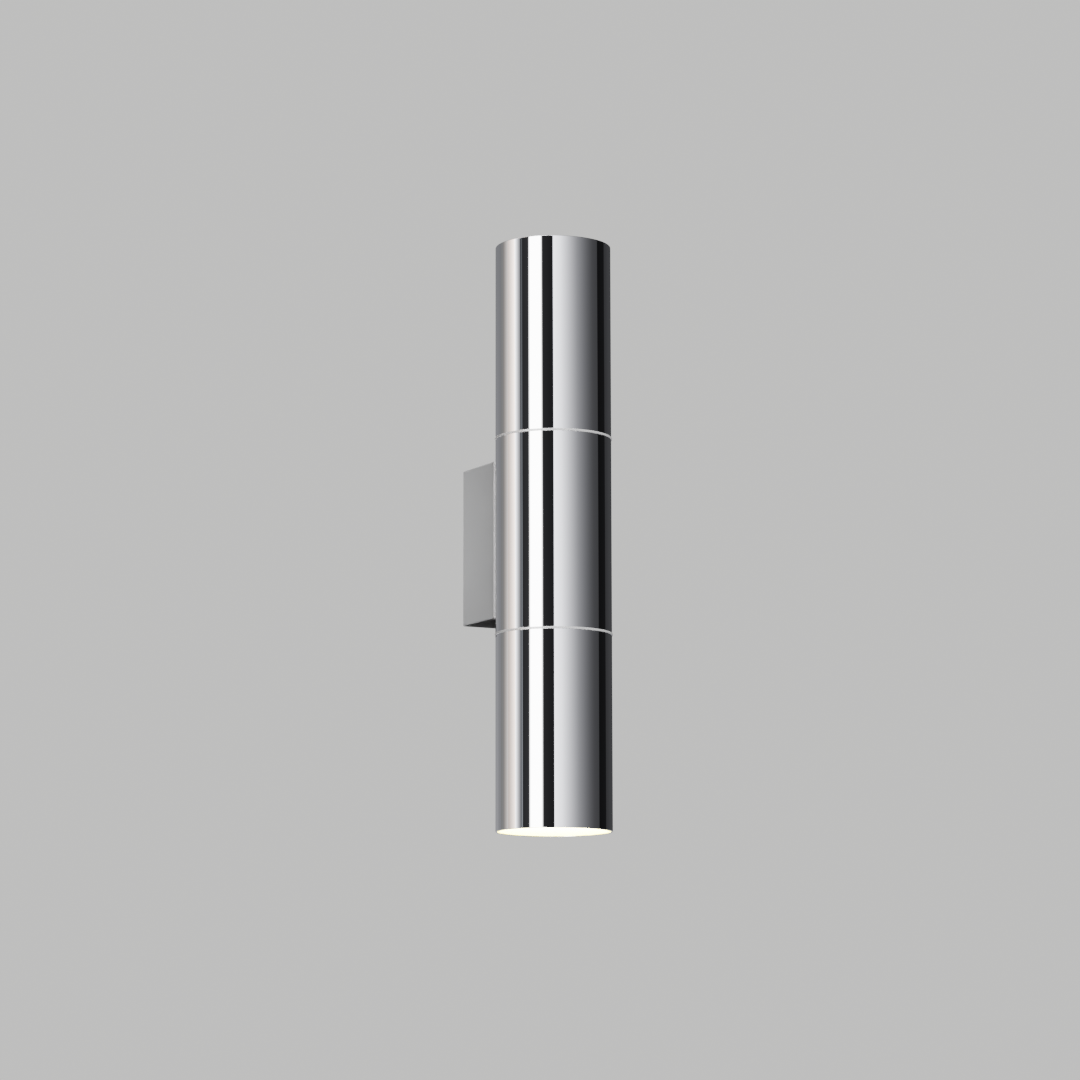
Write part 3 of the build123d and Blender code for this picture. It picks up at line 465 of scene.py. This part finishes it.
def lens_clear():
    """Lit optic: a bright core over each light source, paler between them."""
    shader = Shader("lens_clear", Roughness=0.08, Coat_Weight=0.5, Coat_Roughness=0.05)
    flat = shader.stretched((1, 1, 0))
    nearest = None
    for x, y in led_centres():
        gap = shader.node("ShaderNodeVectorMath", operation="DISTANCE")
        shader.feed(gap.inputs[0], flat)
        gap.inputs[1].default_value = (x, AXIS_Y + y, 0.0)
        if nearest is None:
            nearest = gap.outputs["Value"]
        else:
            nearest = shader.calculate("MINIMUM", nearest, gap.outputs["Value"])
    core = shader.calculate("POWER", shader.spread(nearest, 1.0, 0.0, CORE_FLAT_RADIUS, DOME_RADIUS), 2.0)
    shader.set("Emission Color", shader.blend(core, (1.0, 0.82, 0.50), (1.0, 0.93, 0.78)))
    shader.set("Emission Strength", shader.calculate("MULTIPLY_ADD", core, CORE_GLOW, LENS_GLOW))
    shader.set("Base Color", shader.blend(shader.noise(900.0), (0.22, 0.21, 0.18), (0.18, 0.17, 0.15)))
    return shader


def led_light():
    """Glowing face of a light source."""
    shader = Shader("led_light", Roughness=0.5, Emission_Color=rgba((1.0, 0.86, 0.58)))
    shader.set("Base Color", shader.blend(shader.noise(3000.0), (0.95, 0.78, 0.30), (0.90, 0.70, 0.25)))
    shader.set("Emission Strength", shader.spread(shader.noise(1500.0), *LED_GLOW))
    return shader


FINISHES = [
    chrome, ring_white, cast_metal, screw_steel, plated_sheet, black_rubber, box_paint,
    terminal_nylon, brass, tinned_brass, earth_insulation, live_insulation, neutral_insulation,
    holder_ceramic, glare_white, lamp_white, board_white, board_green, lens_clear, led_light,
]


def dress_cad_nodes(materials):
    """Give every CAD node the finish of its slot."""
    for subpart in frame["record"]["subparts"]:
        node = frame["nodes"][subpart["node"]]
        for holder in node.material_slots:
            holder.material = materials[subpart["material_slot"]]


# ---------------------------------------------------------------- lamp fronts
def lathe(outline, spokes):
    """Closed shell about Z, from (radius, height) points that start and end on the axis, top first."""
    points = [(0.0, 0.0, outline[0][1])]
    for radius, height in outline[1:-1]:
        for index in range(spokes):
            turn = 2 * math.pi * index / spokes
            points.append((radius * math.cos(turn), radius * math.sin(turn), height))
    points.append((0.0, 0.0, outline[-1][1]))
    last = len(points) - 1
    rings = len(outline) - 2
    faces = []
    for index in range(spokes):
        after = (index + 1) % spokes
        faces.append((0, 1 + index, 1 + after))
        for ring in range(rings - 1):
            upper = 1 + ring * spokes
            lower = upper + spokes
            faces.append((upper + index, lower + index, lower + after, upper + after))
        foot = 1 + (rings - 1) * spokes
        faces.append((foot + after, foot + index, last))
    return points, faces


def dome_shell():
    """One small lens: a shallow dome with fine grooves round it, rooted in the slab."""
    outline = []
    for index in range(DOME_RINGS + 1):
        share = index / DOME_RINGS
        groove = share * (0.5 - 0.5 * math.cos(2 * math.pi * DOME_GROOVES * share))
        height = DOME_RISE * (math.cos(share * math.pi / 2) - 1) - GROOVE_DEPTH * groove
        outline.append((DOME_RADIUS * share, height))
    root = -DOME_RISE - DOME_ROOT
    outline += [(DOME_RADIUS, -DOME_RISE - DOME_SINK), (DOME_RADIUS, root), (0.0, root)]
    return lathe(outline, DOME_SPOKES)


def slab_shell():
    """Round plate under the domes, with fine ribs round them and a raised rim."""
    face = -DOME_RISE
    outline = [(0.0, face), (RIB_START - RIB_PITCH, face)]
    for rib in range(RIB_COUNT):
        start = RIB_START + rib * RIB_PITCH
        outline += [(start, face), (start + RIB_PITCH / 2, face + RIB_RISE)]
    inside = LENS_RADIUS - RIM_WIDTH
    outline += [(inside - RIM_DROP, face), (inside, face + RIM_RISE),
                (LENS_RADIUS - RIM_DROP, face + RIM_RISE), (LENS_RADIUS, face + RIM_RISE - RIM_DROP),
                (LENS_RADIUS, -SLAB_THICKNESS), (0.0, -SLAB_THICKNESS)]
    return lathe(outline, SLAB_SPOKES)


def cone_shell():
    """Light guide from the back of the slab down to its light source."""
    foot = LENS_LOW.z - LENS_HIGH.z
    outline = [(0.0, -SLAB_THICKNESS), (CONE_RADIUS, -SLAB_THICKNESS), (LED_SIZE / 2, foot), (0.0, foot)]
    return lathe(outline, CONE_SPOKES)


def lamp_optic(half, material):
    """Detailed front of one lamp, in the place of its plain lens."""
    shells = [((0.0, 0.0), slab_shell())]
    shells += [(centre, dome_shell()) for centre in led_centres()]
    shells += [(centre, cone_shell()) for centre in led_centres()]
    end_over_end = Matrix.Rotation(0.0 if half == "upper" else math.pi, 4, "X")
    to_axis = Matrix.Translation((0.0, AXIS_Y, 0.0))
    to_face = Matrix.Translation((0.0, 0.0, LENS_HIGH.z))
    place = to_axis @ end_over_end @ to_face
    points = []
    faces = []
    for (x, y), (shell_points, shell_faces) in shells:
        first = len(points)
        points += [tuple(place @ Vector((x + p[0], y + p[1], p[2]))) for p in shell_points]
        faces += [tuple(first + corner for corner in face) for face in shell_faces]
    optic = mesh_object("lamp_optic_" + half, points, faces)
    optic.data.shade_smooth()
    optic.data.set_sharp_from_angle(angle=math.radians(SHARP_ANGLE_DEG))
    optic.data.materials.append(material)
    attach(optic, "lamp_" + half)
    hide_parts("lamp_lens_" + half)


# ---------------------------------------------------------------- studio pieces
def card_material(name, tint):
    """Light whose brightness is stored at the card's points, in powers of two."""
    material = bpy.data.materials.new(name)
    material.use_nodes = True
    material.cycles.emission_sampling = "NONE"
    tree = material.node_tree
    tree.nodes.clear()
    output = tree.nodes.new("ShaderNodeOutputMaterial")
    glow = tree.nodes.new("ShaderNodeEmission")
    glow.inputs["Color"].default_value = rgba(tint)
    exposure = tree.nodes.new("ShaderNodeAttribute")
    exposure.attribute_name = "exposure"
    level = tree.nodes.new("ShaderNodeMath")
    level.operation = "POWER"
    level.inputs[0].default_value = 2.0
    tree.links.new(exposure.outputs["Fac"], level.inputs[1])
    tree.links.new(level.outputs[0], glow.inputs["Strength"])
    tree.links.new(glow.outputs["Emission"], output.inputs["Surface"])
    return material


def card_rows(name):
    """Radius, height and brightness factor of each row of points, from the roof down to the floor."""
    low, under, foot = CARD_LIFTS.get(name, (1.0, 1.0, 1.0))
    upright = [(CARD_TOP_Z, 1.0), (CARD_HIGH_Z, 1.0), (CARD_MIDDLE_Z, (1 + low) / 2), (CARD_LOW_Z, low),
               (CARD_UNDER_TOP_Z, under), (CARD_UNDER_Z, under), (CARD_FOOT_Z, foot), (CARD_FLOOR_Z, foot)]
    rows = [(CARD_RADIUS, z, lift) for z, lift in upright]
    return [(CARD_INNER_RADIUS, CARD_ROOF_Z, 1.0)] + rows + [(CARD_INNER_RADIUS, CARD_FLOOR_Z, foot)]


def stand_cards():
    """Ring of cards round the light. Only reflections see them."""
    start_bearing = FIRST_BEARING
    for name, end_bearing, start, end, tint in CARDS:
        rows = card_rows(name)
        steps = max(1, round((end_bearing - start_bearing) / CARD_STEP_DEG))
        points = []
        exposures = []
        for index in range(steps + 1):
            share = index / steps
            bearing = start_bearing + share * (end_bearing - start_bearing)
            for radius, z, lift in rows:
                lean = CARD_LEAN_DEG * max(0.0, z - CARD_MIDDLE_Z)
                points.append(at_bearing(radius, bearing - lean, z))
                exposures.append(math.log2(start * (end / start) ** share * lift))
        faces = []
        for step in range(steps):
            for row in range(len(rows) - 1):
                corner = step * len(rows) + row
                faces.append((corner, corner + 1, corner + len(rows) + 1, corner + len(rows)))
        card = mesh_object("card_" + name, points, faces)
        card.data.attributes.new("exposure", "FLOAT", "POINT").data.foreach_set("value", exposures)
        card.data.materials.append(card_material("card_" + name, tint))
        card.visible_camera = False
        card.visible_diffuse = False
        card.visible_shadow = False
        start_bearing = end_bearing


def disc(name, radius, z, steps=96):
    """Flat disc about the tube's axis."""
    points = [at_bearing(radius, 360 * index / steps, z) for index in range(steps)]
    return mesh_object(name, points, [tuple(range(steps))])


def lay_floor():
    """Plain pale floor under the light."""
    floor = disc("studio_floor", FLOOR_RADIUS, FLOOR_Z)
    shader = finish_of("studio_floor", (0.72, 0.72, 0.71), (0.70, 0.70, 0.69), (0.7, 0.8),
                       cloud=1.5, grain=40.0)
    floor.data.materials.append(shader.material)


def hang_flags():
    """Flags that keep the floor's glow off the undersides. Reflections see only the one under the box."""
    z = BOX_LOW.z - BOX_FLAG_DROP
    front = BOX_LOW.y
    back = BOX_HIGH.y + BOX_FLAG_REACH
    corners = [(BOX_LOW.x, front, z), (BOX_HIGH.x, front, z), (BOX_HIGH.x, back, z), (BOX_LOW.x, back, z)]
    under_box = mesh_object("flag_under_box", corners, [(0, 1, 2, 3)])
    under_all = disc("flag_below", FLAG_RADIUS, FLAG_Z)
    under_all.visible_glossy = False
    shader = finish_of("flag_black", (0.004, 0.004, 0.004), (0.002, 0.002, 0.002), (0.9, 1.0))
    for flag in (under_box, under_all):
        flag.data.materials.append(shader.material)
        flag.visible_camera = False
        flag.visible_transmission = False


def softbox(name, place, target, width, height, power):
    """Area light aimed at a point, left out of reflections."""
    data = bpy.data.lights.new(name, "AREA")
    data.shape = "RECTANGLE"
    data.size = width
    data.size_y = height
    data.energy = power
    light = bpy.data.objects.new(name, data)
    bpy.context.scene.collection.objects.link(light)
    light.location = place
    aim = Vector(target) - Vector(place)
    light.rotation_euler = aim.to_track_quat("-Z", "Y").to_euler()
    light.visible_camera = False
    light.visible_glossy = False


def light_studio():
    """Plain world, softboxes round the light and the weak glow beside the box."""
    world = bpy.data.worlds.new("studio")
    bpy.context.scene.world = world
    world.use_nodes = True
    background = world.node_tree.nodes["Background"]
    background.inputs["Color"].default_value = rgba(BACKDROP_COLOUR)
    background.inputs["Strength"].default_value = BACKDROP_STRENGTH
    middle = (0.0, AXIS_Y, 0.0)
    for name, distance, bearing, z, side, power in SOFTBOXES:
        softbox(name, at_bearing(distance, bearing, z), middle, side, side, power)
    box_side = (BOX_LOW.x, (BOX_LOW.y + BOX_HIGH.y) / 2, 0.0)
    beside_box = (BOX_LOW.x - WALL_GLOW_GAP, WALL_GLOW_Y, 0.0)
    softbox("wall_glow", beside_box, box_side, WALL_GLOW_WIDTH, WALL_GLOW_HEIGHT, WALL_GLOW_POWER)


place_camera()
finishes = {make.__name__: make().material for make in FINISHES}
dress_cad_nodes(finishes)
for half in ("upper", "lower"):
    lamp_optic(half, finishes["lens_clear"])
lay_floor()
stand_cards()
hang_flags()
light_studio()
